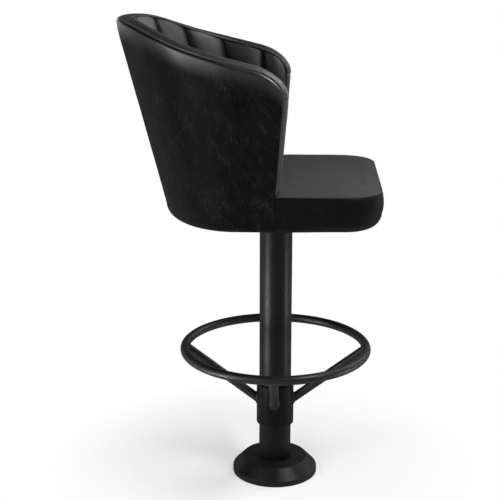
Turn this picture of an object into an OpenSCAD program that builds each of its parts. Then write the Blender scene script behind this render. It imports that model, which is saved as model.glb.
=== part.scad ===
// Bar stool that bolts to the floor: round column, foot ring and a swivelling tub seat.
// Millimetres. The origin is on the column's axis at floor level, +Z is up, -Y is the front.

/* [Column] */
// Outside diameter of the column tube
column_d = 76.2; // [60:0.1:90]
// Wall of the column tube
column_wall = 3; // [2:0.1:5]
// Height of the column tube's top end above the floor
column_top = 632; // [560:0.5:800]

/* [Floor plate] */
// Diameter of the steel plate that is bolted to the floor
plate_d = 190; // [180:1:196]
// Thickness of the floor plate
plate_t = 8; // [5:0.5:12]
// Diameter of the circle that the floor bolts stand on
bolt_circle_d = 150; // [130:1:160]
// Diameter of each floor bolt's hole
bolt_hole_d = 11; // [8:0.5:14]
// Number of floor bolts
bolt_count = 4; // [3:1:6]

/* [Base cover] */
// Outside diameter of the cover that hides the floor plate
cover_d = 203.2; // [202:0.1:240]
// Height of the cover
cover_h = 38; // [30:1:60]
// Height of the cover's upright edge
cover_band_h = 12.7; // [11:0.1:16]
// Diameter of the cover's flat top
cover_top_d = 154; // [120:1:170]
// Sheet thickness of the cover
cover_t = 2; // [1.5:0.1:3]
// Small round on the cover's edges
cover_edge = 1.2; // [0.6:0.1:2]

/* [Foot ring] */
// Diameter of the foot ring, measured at the middle of its bar
ring_d = 432; // [380:1:480]
// Diameter of the foot ring's bar
ring_bar_d = 21.3; // [16:0.1:28]
// Height of the foot ring's middle above the floor
ring_height = 318; // [290:1:360]
// How far each spoke falls from the ring to the collar
spoke_drop = 130; // [90:1:140]
// Diameter of the spokes
spoke_d = 20.6; // [14:0.1:26]
// Outside diameter of the collar round the column
collar_d = 88.9; // [84:0.1:110]
// Length of the collar
collar_len = 100; // [70:1:105]
// Distance from the spokes' feet up to the collar's top end
collar_above_spokes = 40; // [30:1:45]
// Diameter of the set screws that hold the collar
set_screw_d = 8; // [5:0.5:10]

/* [Swivel] */
// Diameter of the swivel spindle
spindle_d = 30; // [24:0.5:36]
// Length of the bearing housing inside the column
housing_len = 80; // [60:1:110]
// Wall of the two bearing bushes
bush_wall = 5; // [3:0.5:6]
// Length of each bush
bush_len = 30; // [20:1:35]
// Thickness of the flanges on the housing and the bushes
flange_t = 3; // [2:0.5:6]
// Thickness of the thrust washer under the seat
thrust_t = 2; // [1:0.5:4]
// Side of the square steel plate under the seat
seat_plate_w = 180; // [160:1:200]
// Thickness of the seat plate
seat_plate_t = 5; // [4:0.5:8]
// Distance between the bolts of the seat plate
seat_bolt_gap = 140; // [120:1:150]
// Diameter of the bolts that hold the seat plate
seat_bolt_d = 8; // [6:0.5:10]

/* [Seat] */
// Width of the seat over its cover
seat_w = 472; // [440:1:520]
// Distance from the column's axis to the front of the seat
seat_front = 233; // [215:1:260]
// Radius of the seat's front corners, seen from above
seat_corner_r = 85; // [55:1:100]
// Height of the sewn seam round the seat's edge above the seat's underside
seam_rise = 80.5; // [72:0.5:100]
// Radius of the rounded lower edge of the back
base_edge_r = 24; // [20:1:26]
// Radius of the rounded lower edge of the seat in front of the back
front_edge_r = 34; // [24:1:40]
// How far the cushion's edge swells above its seam
cushion_edge = 3.5; // [2:0.5:8]
// How far the middle of the cushion rises above its edge
cushion_crown = 8; // [4:0.5:20]
// How far the leather round the seat's edge swells at mid height
border_swell = 3; // [1:0.5:5]
// Thickness of the plywood seat board
board_t = 18; // [12:0.5:20]
// Thickness of the leather with its wadding
leather_t = 3.5; // [2.5:0.1:4]

/* [Back] */
// Distance from the column's axis to the back of the tub at the seat board
back_foot = 252; // [240:1:290]
// Distance behind the column's axis at which the straight sides give way to the round back
back_start = 84; // [60:1:100]
// Angle that the back leans
back_lean = 14.9; // [8:0.1:20]
// Height of the sewn seam at the middle of the back above the seat's underside
back_rise = 434; // [390:0.5:480]
// How far the middle of the rim stands above the line of its sides
rim_peak = 21.3; // [0:0.1:30]
// Slope of the rim down the sides
rim_slope = 0.25; // [0.24:0.01:0.36]
// Distance over which the rim levels out at the back
rim_ease = 50; // [20:1:120]
// Length of the rounded top corner of each wing
wing_corner_run = 70; // [60:1:85]
// Height of the rounded top corner of each wing
wing_corner_drop = 43; // [36:1:56]
// Angle that the front edge of each wing leans forward
wing_lean = 4.4; // [2:0.1:7]
// Thickness of the moulded plywood shell
shell_t = 12; // [9:0.5:15]
// Angle round the back that the middle padded channel takes up at the rim
middle_channel = 22; // [20:0.5:24]
// Angle of the next channel on either side
second_channel = 22; // [20:0.5:24]
// Angle of the third channel on either side
third_channel = 21; // [19:0.5:23]
// Angle of the fourth channel on either side
fourth_channel = 23.5; // [21:0.5:24]
// Width at the rim of the channel at each wing's front edge
wing_channel = 57; // [48:1:64]
// Depth of the back padding from the shell at a sewn valley
pad_valley = 16; // [12:0.5:20]
// How far each padded channel swells out of its valleys
channel_swell = 16; // [10:0.5:20]
// Width of the padded band that runs along the rim
band_w = 40; // [34:1:46]
// Height of the rim band above its seam at the sides
band_rise = 9.5; // [6:0.5:12]
// How much flatter the rim band is at the middle of the back
band_ease = 5.5; // [0:0.5:8]
// How far the padded facing on each wing's front edge swells forward
facing_swell = 11; // [7:0.5:14]
// How far the outer cover draws in to its seam under the rim band
seam_draw = 8.8; // [2:0.1:10]
// Height over which the outer cover draws in
seam_run = 30; // [15:1:40]
// How far in from the outer cover the facings start
facing_draw = 2.2; // [1:0.1:4]

/* [Hidden] */

// Clearances: between pieces that only lie together, behind the padding, for a running fit, for a
// pressed piece, for a sleeve on its tube, for a loose washer and for a bolt in its hole
gap = 0.3;
pad_gap = 1.1;
running = 0.05;
snug = 0.02;
slide_fit = 0.08;
loose = 0.1;
bolt_slack = 0.5;

// Column, plate and cover
column_r = column_d / 2;
bore_r = column_r - column_wall;

// Foot ring
ring_r = ring_d / 2;
spoke_foot_z = ring_height - spoke_drop;
collar_top = spoke_foot_z + collar_above_spokes;
collar_z = collar_top - collar_len;
collar_r = collar_d / 2;
set_screw_rise = 22;
set_screw_z = collar_z + set_screw_rise;
weld_gap = 0.1;
ring_sides = 96;

// Swivel
spindle_r = spindle_d / 2;
bush_in_r = spindle_r + running;
bush_out_r = bush_in_r + bush_wall;
bush_flange_w = 6;
bush_flange_r = bush_out_r + bush_flange_w;
housing_top = column_top + flange_t;
housing_bottom = column_top - housing_len;
bush_top = housing_top + flange_t;
thrust_top = bush_top + thrust_t;
shoulder_z = thrust_top + gap;
shoulder_t = 15;
shoulder_w = 17;
shoulder_r = spindle_r + shoulder_w;
keeper_z = housing_bottom - flange_t - gap;
keeper_t = 2.2;
keeper_r = bush_out_r + 2;
circlip_t = 1.8;
circlip_w = 4;
circlip_mouth = 6;
circlip_z = keeper_z - keeper_t - circlip_t - loose;
groove_depth = 1.4;
groove_r = spindle_r - groove_depth;
spindle_tail = 8.5;
spindle_bottom = circlip_z - spindle_tail;
spindle_chamfer = 1.5;

// Seat levels. The seat hangs on the swivel, so its height follows the column.
seat_plate_z = shoulder_z + shoulder_t;
board_z = seat_plate_z + seat_plate_t;
board_top = board_z + board_t;
seat_base = board_z - leather_t - gap;
seam_z = seat_base + seam_rise;
edge_z = seat_base + base_edge_r;
rebate_h = 2.2;
seat_bolt_r = seat_bolt_d / 2;
bolt_head_h = 5.3;
bolt_head_r = 1.85 * seat_bolt_r;
bolt_end_z = board_top - 3.6;
washer_t = 1.6;
washer_r = 2 * seat_bolt_r;
tee_flange_t = 1.6;
tee_flange_r = 10;
tee_flange_z = board_top - tee_flange_t - 2 * loose;
tee_foot_z = board_z + 2;
tee_wall = 1.2;
tee_in_r = seat_bolt_r + running;
tee_out_r = tee_in_r + tee_wall;
seat_bolts = [for (x = [-1, 1], y = [-1, 1]) [x * seat_bolt_gap / 2, y * seat_bolt_gap / 2]];

// Plan of the tub: two straight sides and half an ellipse that deepens as the back leans
half_w = seat_w / 2;
lean = tan(back_lean);
shell_d = leather_t + gap;
shell_in_d = shell_d + shell_t;
pad_d = shell_in_d + pad_gap;
cushion_lip = 0.3;
cushion_rise = 1;
pad_z = seam_z + cushion_lip + cushion_edge + cushion_rise + gap;
wing_foot = -2.5;
wing_slope = tan(wing_lean);
rim_z0 = seat_base + back_rise;
rim_back_y = back_foot + lean * (rim_z0 - edge_z);

function back_depth(z) = back_foot + lean * max(0, z - edge_z) - back_start;
function wing_y(z) = wing_foot - wing_slope * max(0, z - pad_z);
peak_run = 110;
function rim_z(y) = let (u = rim_back_y - y)
    rim_z0 - rim_slope * (norm([u, rim_ease]) - rim_ease) - rim_peak * (1 - exp(-pow(u / peak_run, 2)));

// A station is [angle round the back, share of the straight side, height of its seam]
function wall_y(angle, t, d, z) =
    back_start + (back_depth(z) - d) * cos(angle) + t * (wing_y(z) - back_start);
function wall_point(s, d, z) = [(half_w - d) * sin(s[0]), wall_y(s[0], s[1], d, z), z];
function settle(angle, z, turns) =
    turns == 0 ? z : settle(angle, rim_z(wall_y(angle, 0, 0, z)), turns - 1);

// Wing corner: a quarter of an ellipse that leaves the rim's line and ends on the front edge's line
corner_steps = 6;
corner_shift = wing_slope * wing_corner_drop;
function front_end(z, turns) =
    turns == 0 ? z : front_end(rim_z(wing_y(z)) - wing_corner_drop, turns - 1);
corner_start = wing_y(front_end(rim_z0, 4)) + wing_corner_run - corner_shift;
function corner_fall(a) = 1 - cos(a);
function corner_y(a) = corner_start - wing_corner_run * sin(a) + corner_shift * corner_fall(a);
function corner_z(a) = rim_z(corner_y(a)) - wing_corner_drop * corner_fall(a);
function corner_angle(y, a, turns) = turns == 0 ? a : corner_angle(y,
    asin(min(1, max(0, (corner_start - y + corner_shift * corner_fall(a)) / wing_corner_run))), turns - 1);

// Sewn channels: seven round the back and two along each side
back_channels = 7;
channel_steps = 6;
arc_steps = back_channels * channel_steps;
valley_1 = middle_channel / 2;
valley_2 = valley_1 + second_channel;
valley_3 = valley_2 + third_channel;
arc_end = valley_3 + fourth_channel;
valleys = [-arc_end, -valley_3, -valley_2, -valley_1, valley_1, valley_2, valley_3, arc_end];
function channel_angle(i) = let (c = min(back_channels - 1, floor(i / channel_steps)))
    valleys[c] + (valleys[c + 1] - valleys[c]) * (i / channel_steps - c);
turn_steps = 3;
turn_share = 0.47;
straight_steps = 3;
side_valley_y = wing_y(front_end(rim_z0, 4)) + wing_channel;
valley_angle = corner_angle(side_valley_y, 0, 3);

function side_station(sign, y, z) =
    [sign * 90, (y - back_start) / (wing_y(z) - back_start), z];
function long_side(sign) = concat(
    [for (i = [1:turn_steps]) let (a = arc_end + (90 - arc_end) * i / turn_steps)
        [sign * a, 0, settle(a, rim_z0, 6)]],
    [for (i = [1:straight_steps])
        let (y = back_start + (side_valley_y - back_start) * i / straight_steps,
             a = corner_angle(y, 0, 3))
        side_station(sign, y, rim_z(y) - wing_corner_drop * corner_fall(a))]);
function front_side(sign) = [for (i = [1:corner_steps])
    let (a = valley_angle + (90 - valley_angle) * i / corner_steps)
    side_station(sign, corner_y(a), corner_z(a))];
function side(sign) = concat(long_side(sign), front_side(sign));
function reversed(list) = [for (i = [len(list) - 1:-1:0]) list[i]];
back_arc = [for (i = [0:arc_steps])
    let (a = channel_angle(i)) [a, 0, settle(a, rim_z0, 6)]];

wall_stations = concat(reversed(side(-1)), back_arc, side(1));
front_z = wall_stations[0][2];

// The channels spread forward as they go down: a station's place from 0 at the back to 1 at the wing
round_share = 0.66;
function place_of(s) =
    round_share * abs(s[0]) / 90 + (1 - round_share) * s[1];
valley_place = place_of(side_station(1, side_valley_y, corner_z(valley_angle)));
foot_spread = [[0, 0.14], [place_of([valley_2, 0]), 0.2], [place_of([valley_3, 0]), 0.16],
    [place_of([arc_end, 0]), 0.08], [valley_place, 0.02], [1, 0]];
function spread(u, f) = u * (1 + lookup(u, foot_spread) * (1 - f));
function place_point(sign, u, d, z) = wall_point(
    [sign * min(90, 90 * u / round_share), max(0, (u - round_share) / (1 - round_share))], d, z);
function pad_point(s, d, f) = place_point(sign(s[0]), spread(place_of(s), f), d,
    pad_z + (s[2] - gap - pad_z) * f);

// Swell of a padded channel at each pad station, 0 in its valleys and 1 at its crest
function hump(share) = pow(sin(180 * share), 0.7);
side_humps = concat(
    [for (i = [1:turn_steps]) hump(turn_share * i / turn_steps)],
    [for (i = [1:straight_steps]) hump(turn_share + (1 - turn_share) * i / straight_steps)],
    [for (i = [1:corner_steps]) hump(i / corner_steps * 0.86)]);
pad_humps = concat(reversed(side_humps),
    [for (i = [0:arc_steps]) hump((i % channel_steps) / channel_steps)], side_humps);

// Height of the cushion's top at a distance from its edge
edge_run = 25;
function edge_height(d) =
    cushion_edge * sqrt(max(0, 1 - pow(1 - min(1, d / edge_run), 2)));
function cushion_top(d) =
    seam_z + cushion_lip + edge_height(d) + cushion_rise * min(1, d / (2 * edge_run));

// Polyhedra are made of triangles. A loft joins closed loops that run anticlockwise, seen from its end.
module loft(loops) {
    n = len(loops[0]);
    last = len(loops) - 1;
    middle = [for (loop = [loops[0], loops[last]])
        let (ones = [for (p = loop) 1]) (ones * loop) / n];
    points = concat([for (loop = loops) each loop], middle);
    bottom = n * len(loops);
    sides = [for (i = [0:last - 1], j = [0:n - 1])
        let (k = (j + 1) % n, a = i * n + j, b = i * n + k, c = b + n, d = a + n)
        each [[a, d, c], [a, c, b]]];
    caps = [for (j = [0:n - 1]) let (k = (j + 1) % n)
        each [[j, k, bottom], [last * n + k, last * n + j, bottom + 1]]];
    polyhedron(points, concat(sides, caps));
}

// A sheet is the solid between an outer and an inner grid: a list of stations, each a list of rows.
module sheet(outer, inner) {
    n = len(outer);
    m = len(outer[0]);
    half = n * m;
    points = concat([for (row = outer) each row], [for (row = inner) each row]);
    walls = [for (i = [0:n - 2], k = [0:m - 2])
        let (a = i * m + k, b = a + m, c = b + 1, d = a + 1)
        each [[a, b, c], [a, c, d],
              [a + half, c + half, b + half], [a + half, d + half, c + half]]];
    edges = [for (i = [0:n - 2])
        let (a = i * m, b = a + m, d = a + m - 1, c = b + m - 1)
        each [[b, a, a + half], [b, a + half, b + half],
              [d, c, c + half], [d, c + half, d + half]]];
    ends = [for (k = [0:m - 2])
        let (a = k, d = k + 1, b = (n - 1) * m + k, c = b + 1)
        each [[a, d, d + half], [a, d + half, a + half],
              [c, b, b + half], [c, b + half, c + half]]];
    polyhedron(points, concat(walls, edges, ends));
}

module tube(z0, z1, r_out, r_in) {
    rotate_extrude($fn = ring_sides) translate([r_in, z0]) square([r_out - r_in, z1 - z0]);
}

module floor_plate() {
    color("dimgray") difference() {
        cylinder(h = plate_t, d = plate_d, $fn = ring_sides);
        for (i = [0:bolt_count - 1]) rotate([0, 0, 360 * i / bolt_count])
            translate([bolt_circle_d / 2, 0, -1]) cylinder(h = plate_t + 2, d = bolt_hole_d, $fn = 48);
    }
}

module column() {
    color("#1c1c1e") tube(plate_t, column_top, column_r, bore_r);
}

module base_cover() {
    r = cover_d / 2;
    top_r = cover_top_d / 2;
    hole_r = column_r + gap;
    e = cover_edge;
    slope = [top_r - r, cover_h - cover_band_h] / norm([top_r - r, cover_h - cover_band_h]);
    drop = cover_t * (1 - slope[1]) / -slope[0];
    color("#161617") rotate_extrude($fn = ring_sides) polygon([
        [r, 0], [r, cover_band_h - e], [r + 0.4 * e * slope[0], cover_band_h + 0.1 * e * slope[1]],
        [r + e * slope[0], cover_band_h + e * slope[1]],
        [top_r - e * slope[0], cover_h - e * slope[1]], [top_r - 0.5 * e, cover_h - 0.1 * e],
        [top_r - 1.4 * e, cover_h], [hole_r, cover_h], [hole_r, cover_h - cover_t],
        [top_r - drop, cover_h - cover_t], [r - cover_t, cover_band_h - drop], [r - cover_t, 0]]);
}

module foot_ring() {
    color("#19191a") rotate_extrude($fn = ring_sides)
        translate([ring_r, ring_height]) circle(d = ring_bar_d, $fn = 48);
}

module spoke(angle) {
    run = ring_r - collar_r;
    length = norm([run, spoke_drop]);
    tilt = atan2(run, spoke_drop);
    color("#19191a") difference() {
        rotate([0, 0, angle]) translate([collar_r, 0, spoke_foot_z]) rotate([0, tilt, 0])
            translate([0, 0, -spoke_d]) cylinder(h = length + spoke_d, d = spoke_d, $fn = 48);
        rotate_extrude($fn = ring_sides)
            translate([ring_r, ring_height]) circle(d = ring_bar_d + 2 * weld_gap, $fn = 48);
        translate([0, 0, collar_z - collar_len])
            cylinder(h = 3 * collar_len, r = collar_r + weld_gap, $fn = ring_sides);
    }
}
module spoke_left() { spoke(180); }
module spoke_right() { spoke(0); }
module spoke_front() { spoke(270); }
module spoke_rear() { spoke(90); }

// The set screws stand on the stool's right-hand side, 45 degrees either side of +X
module at_set_screws() {
    for (angle = [-45, 45]) rotate([0, 0, angle]) translate([0, 0, set_screw_z]) rotate([0, 90, 0])
        children();
}

module foot_ring_collar() {
    color("#19191a") difference() {
        tube(collar_z, collar_top, collar_r, column_r + slide_fit);
        at_set_screws() cylinder(h = collar_d, d = set_screw_d + 2 * running, $fn = 48);
    }
}

module collar_set_screws() {
    socket = set_screw_d / 2;
    color("silver") at_set_screws() difference() {
        translate([0, 0, column_r + gap])
            cylinder(h = collar_r - column_r - 2 * gap, d = set_screw_d, $fn = 48);
        translate([0, 0, collar_r - socket]) cylinder(h = socket, d = socket * 1.15, $fn = 6);
    }
}

module bearing_housing() {
    color("gray") union() {
        tube(column_top, housing_top, column_r, bush_out_r + snug);
        tube(housing_bottom, column_top, bore_r - slide_fit, bush_out_r + snug);
    }
}

module upper_bush() {
    color("darkgoldenrod") union() {
        tube(housing_top, bush_top, bush_flange_r, bush_in_r);
        tube(housing_top - bush_len, housing_top, bush_out_r, bush_in_r);
    }
}

module lower_bush() {
    color("darkgoldenrod") union() {
        tube(housing_bottom - flange_t, housing_bottom, bush_flange_r, bush_in_r);
        tube(housing_bottom, housing_bottom + bush_len, bush_out_r, bush_in_r);
    }
}

module thrust_washer() {
    color("ivory") tube(bush_top, thrust_top, bush_flange_r, bush_in_r + gap);
}

module spindle() {
    groove_top = circlip_z + circlip_t + loose;
    color("silver") rotate_extrude($fn = ring_sides) polygon([
        [0, spindle_bottom], [spindle_r - spindle_chamfer, spindle_bottom],
        [spindle_r, spindle_bottom + spindle_chamfer], [spindle_r, circlip_z], [groove_r, circlip_z],
        [groove_r, groove_top], [spindle_r, groove_top], [spindle_r, shoulder_z],
        [shoulder_r, shoulder_z], [shoulder_r, seat_plate_z], [0, seat_plate_z]]);
}

module keeper_washer() {
    color("silver") tube(keeper_z - keeper_t, keeper_z, keeper_r, spindle_r + loose);
}

module circlip() {
    color("#333333") difference() {
        tube(circlip_z + running, circlip_z + circlip_t, spindle_r + circlip_w, groove_r + snug);
        translate([0, -circlip_mouth / 2, circlip_z - 1])
            cube([spindle_d, circlip_mouth, circlip_t + 2]);
    }
}

module seat_plate() {
    color("#242426") difference() {
        translate([-seat_plate_w / 2, -seat_plate_w / 2, seat_plate_z])
            cube([seat_plate_w, seat_plate_w, seat_plate_t]);
        for (p = seat_bolts) translate([p[0], p[1], seat_plate_z - 1])
            cylinder(h = seat_plate_t + 2, r = seat_bolt_r + bolt_slack, $fn = 48);
    }
}

module plate_bolts() {
    head_z = seat_plate_z - washer_t - bolt_head_h;
    color("silver") for (p = seat_bolts) translate([p[0], p[1], 0]) {
        translate([0, 0, head_z]) cylinder(h = bolt_head_h, r = bolt_head_r, $fn = 6);
        translate([0, 0, head_z + bolt_head_h])
            cylinder(h = bolt_end_z - head_z - bolt_head_h, r = seat_bolt_r, $fn = 48);
    }
}

module plate_washers() {
    color("silver") for (p = seat_bolts) translate([p[0], p[1], 0])
        tube(seat_plate_z - washer_t, seat_plate_z, washer_r, seat_bolt_r + gap);
}

module tee_nuts() {
    color("silver") for (p = seat_bolts) translate([p[0], p[1], 0]) {
        tube(tee_flange_z, tee_flange_z + tee_flange_t, tee_flange_r, tee_in_r);
        tube(tee_foot_z, tee_flange_z, tee_out_r, tee_in_r);
    }
}

// The leather turns under the board and round the lower edge in chords of this many degrees
edge_step = 30;
edge_angles = [for (a = [90:-edge_step:0]) a];
turn_under = 46;

// How far in from the outline the inside of the leather lies at a height above the underside
function edge_inset(r, h) =
    let (chord_r = (r - leather_t) * cos(edge_step / 2)) r - sqrt(pow(chord_r, 2) - pow(max(0, r - h), 2));

// One level of the seat: its front part drawn in by d, and its part inside the tub by t
corner_parts = 6;
tub_parts = 30;
function seat_loop(d, t, z) =
    let (r = seat_corner_r - d, x = half_w - seat_corner_r, y = seat_corner_r - seat_front)
    concat(
        [[d - half_w, wing_foot - 3 * gap, z]],
        [for (i = [0:corner_parts]) let (a = 180 + 90 * i / corner_parts)
            [r * cos(a) - x, y + r * sin(a), z]],
        [for (i = [0:corner_parts]) let (a = 270 + 90 * i / corner_parts)
            [r * cos(a) + x, y + r * sin(a), z]],
        [[half_w - d, wing_foot - 3 * gap, z], [half_w - t, wing_foot - gap, z]],
        [for (i = [0:tub_parts]) wall_point([90 - 180 * i / tub_parts, 0], t, z)],
        [[t - half_w, wing_foot - gap, z]]);
module seat_plan(d, t) {
    polygon([for (p = seat_loop(d, t, board_z)) [p[0], p[1]]]);
}

module seat_board() {
    step_h = board_z + rebate_h - seat_base;
    color("burlywood") difference() {
        union() {
            translate([0, 0, board_z]) linear_extrude(rebate_h) seat_plan(front_edge_r, base_edge_r);
            translate([0, 0, board_z + rebate_h]) linear_extrude(board_t - rebate_h)
                seat_plan(edge_inset(front_edge_r, step_h) + gap, shell_in_d + gap);
        }
        for (p = seat_bolts) translate([p[0], p[1], 0]) {
            translate([0, 0, board_z - 1]) cylinder(h = board_t + 2, r = tee_out_r + running, $fn = 48);
            translate([0, 0, tee_flange_z]) cylinder(h = board_t, r = tee_flange_r + 2 * loose, $fn = 48);
        }
    }
}

module dust_cover() {
    cloth_t = 0.7;
    margin = 6;
    hole = seat_plate_w + margin;
    color("#202020") translate([0, 0, seat_base - gap - cloth_t]) linear_extrude(cloth_t) difference() {
        seat_plan(front_edge_r + margin, base_edge_r + margin);
        square([hole, hole], center = true);
    }
}

// Towards its seam under the rim band the outer cover draws in, and less so at the facings
function draw_in(s) = facing_draw + (seam_draw - facing_draw) * (1 - pow(s[1], 2));

// Moulded shell: its lower edge follows the round of the cover and laps the board's edge
module back_shell() {
    round_r = base_edge_r - leather_t - 0.7;
    foot = [for (a = [50, 25, 0]) [base_edge_r - round_r * cos(a), edge_z - round_r * sin(a)]];
    rows = [foot[0], foot[1], [shell_d, edge_z], [shell_d, pad_z]];
    outer = [for (s = wall_stations) concat(
        [for (r = rows) wall_point(s, r[0], r[1])],
        [wall_point(s, shell_d, s[2] - seam_run), wall_point(s, shell_d + draw_in(s), s[2])])];
    inner = [for (s = wall_stations) concat(
        [for (r = rows) wall_point(s, shell_in_d, r[1])],
        [for (z = [s[2] - seam_run, s[2]]) wall_point(s, shell_in_d, z)])];
    color("peru") sheet(outer, inner);
}

module back_screws() {
    head_r = 4;
    shank_r = 2;
    head_h = 2.4;
    shank_len = 30;
    screw_z = board_z + board_t * 0.55;
    head_d = edge_inset(base_edge_r, screw_z - head_r - seat_base) + gap;
    color("silver") for (angle = [-60, -40, -20, 0, 20, 40, 60])
        translate(wall_point([angle, 0], head_d, screw_z)) rotate([0, 0, 90 - angle])
        rotate([0, -90, 0]) {
            cylinder(h = head_h, r1 = head_r, r2 = shank_r, $fn = 48);
            translate([0, 0, head_h]) cylinder(h = shank_len, r = shank_r, $fn = 48);
        }
}

// Rows of the outer leather: turned under the board, then round the lower edge
function edge_rows(t, r) = concat([[turn_under, seat_base + t]],
    [for (a = edge_angles) [r - (r - t) * cos(a), seat_base + r - (r - t) * sin(a)]]);

roll_steps = [1, 0.3, 0];
function cover_column(s, t) = concat(
    [for (r = edge_rows(t, base_edge_r)) wall_point(s, r[0], r[1])], [wall_point(s, t, pad_z)],
    [for (h = roll_steps)
        wall_point(s, t + draw_in(s) * (1 - sqrt(1 - pow(1 - h, 2))), s[2] - seam_run * h)]);

module outer_back_cover() {
    color("#101011") sheet([for (s = wall_stations) cover_column(s, 0)],
        [for (s = wall_stations) cover_column(s, leather_t)]);
}

// Padded, channelled inside of the back: the share of its height at each row, and its swell there
module inner_back_pad() {
    rows = [[0, 0.7], [0.08, 0.95], [0.3, 1], [0.6, 1], [0.84, 1], [0.94, 0.85], [1, 0.45]];
    color("#18181a") sheet(
        [for (s = wall_stations) [for (r = rows) pad_point(s, pad_d, r[0])]],
        [for (i = [0:len(wall_stations) - 1]) [for (r = rows)
            pad_point(wall_stations[i], pad_d + pad_valley + channel_swell * pad_humps[i] * r[1], r[0])]]);
}

// Crowned section shared by the rim band and the facings: [distance in from the outside, rise]
band_steps = 9;
function band_section(start, rise) = [for (i = [0:band_steps])
    let (a = 180 * i / band_steps)
    [start + (band_w - start) * (1 - cos(a)) / 2, gap + rise * pow(max(0, sin(a)), 0.75)]];
function unit(v) = v / norm(v);

module rim_band() {
    last = len(wall_stations) - 1;
    edge = [for (s = wall_stations) wall_point(s, 0, s[2])];
    up_front = [0, -wing_slope, 1];
    color("#131314") loft([for (i = [0:last])
        let (s = wall_stations[i],
             inward = [-sin(s[0]), -cos(s[0]), 0],
             along = i == 0 ? up_front : i == last ? -up_front : edge[i + 1] - edge[i - 1],
             out = unit(cross(inward, along)),
             rise = band_rise - band_ease * cos(s[0])
                 + (facing_swell - band_rise) * pow(s[1], 2))
        [for (p = band_section(draw_in(s), rise)) edge[i] + p[0] * inward + p[1] * out]]);
}

// Padded strip up the front edge of the left wing. It swells less at its foot.
module facing() {
    s = wall_stations[0];
    out = unit([0, -1, -wing_slope]);
    top = front_z - gap;
    foot_z = pad_z + 6;
    foot_flat = 12;
    foot_share = 0.7;
    low_share = 0.85;
    function strip(share) = band_section(facing_draw, facing_swell * share);
    foot = [for (p = strip(foot_share))
        let (q = wall_point(s, p[0], pad_z) + p[1] * out)
        [q[0], q[1], cushion_top(max(foot_flat, p[0])) + 2 * gap]];
    color("#131314") loft(concat([foot], [for (f = [0, 0.35, 0.7, 1])
        let (z = foot_z + (top - foot_z) * f)
        [for (p = strip(low_share + (1 - low_share) * f)) wall_point(s, p[0], z) + p[1] * out]]));
}
module left_facing() { facing(); }
module right_facing() { mirror([1, 0, 0]) facing(); }

function cushion_loop(d, z) = seat_loop(d, max(d, pad_d + gap), z);

module seat_cushion() {
    side_d = leather_t + gap;
    foot_z = board_top + gap;
    foot_d = edge_inset(front_edge_r, foot_z - seat_base) + gap;
    inner = 2 * edge_run;
    middle = [0, 10];
    low = [[foot_d, foot_z], [edge_inset(front_edge_r, front_edge_r) + gap, seat_base + front_edge_r],
           [side_d, seam_z - gap], [gap, seam_z - gap / 2]];
    rim = [for (d = [0, 1, 4, 10, 25, inner]) [d, cushion_top(d)]];
    rings = [for (p = concat(low, rim)) cushion_loop(p[0], p[1])];
    edge = cushion_loop(inner, cushion_top(inner));
    crown = [for (f = [0.75, 0.48, 0.2]) [for (p = edge)
        [middle[0] + (p[0] - middle[0]) * f, middle[1] + (p[1] - middle[1]) * f,
         p[2] + cushion_crown * (1 - f * f)]]];
    color("#1b1b1d") loft(concat(rings, crown));
}

// Stations round the front of the seat: a point on the outside, its outward direction, and from
// 0 to 1 how far the seat's own shape has taken over from the back's
border_parts = 8;
border_y = seat_corner_r - seat_front;
border_x = half_w - seat_corner_r;
function border_arc(from, x) = [for (i = [0:border_parts]) let (a = from + 90 * i / border_parts)
    [[x + seat_corner_r * cos(a), border_y + seat_corner_r * sin(a)], [cos(a), sin(a)], 1]];
border_stations = reversed(concat(
    [[[-half_w, wing_foot - gap], [-1, 0], 0], [[-half_w, border_y * 0.4], [-1, 0], 0.5]],
    border_arc(180, -border_x), [[[0, -seat_front], [0, -1], 1]], border_arc(270, border_x),
    [[[half_w, border_y * 0.4], [1, 0], 0.5], [[half_w, wing_foot - gap], [1, 0], 0]]));

function border_column(s, t) = let (
        r = base_edge_r + (front_edge_r - base_edge_r) * s[2],
        swell = border_swell * s[2],
        side_h = seam_rise - r,
        upper = [[t - swell, seat_base + r + 0.45 * side_h],
                 [t - 0.7 * swell, seat_base + r + 0.75 * side_h], [t, seam_z - 2 * gap]])
    [for (p = concat(edge_rows(t, r), upper))
        [s[0][0] - p[0] * s[1][0], s[0][1] - p[0] * s[1][1], p[1]]];

module seat_border() {
    color("#101011") sheet([for (s = border_stations) border_column(s, 0)],
        [for (s = border_stations) border_column(s, leather_t)]);
}

floor_plate();
column();
base_cover();
foot_ring();
spoke_left();
spoke_right();
spoke_front();
spoke_rear();
foot_ring_collar();
collar_set_screws();
bearing_housing();
upper_bush();
lower_bush();
thrust_washer();
spindle();
keeper_washer();
circlip();
seat_plate();
plate_bolts();
plate_washers();
tee_nuts();
seat_board();
dust_cover();
back_shell();
back_screws();
outer_back_cover();
inner_back_pad();
rim_band();
left_facing();
right_facing();
seat_cushion();
seat_border();
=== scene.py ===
from math import asin, atan2, cos, exp, hypot, pi, radians, sin, sqrt, tan, tau

import bmesh
import bpy
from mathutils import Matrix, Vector, noise


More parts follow.
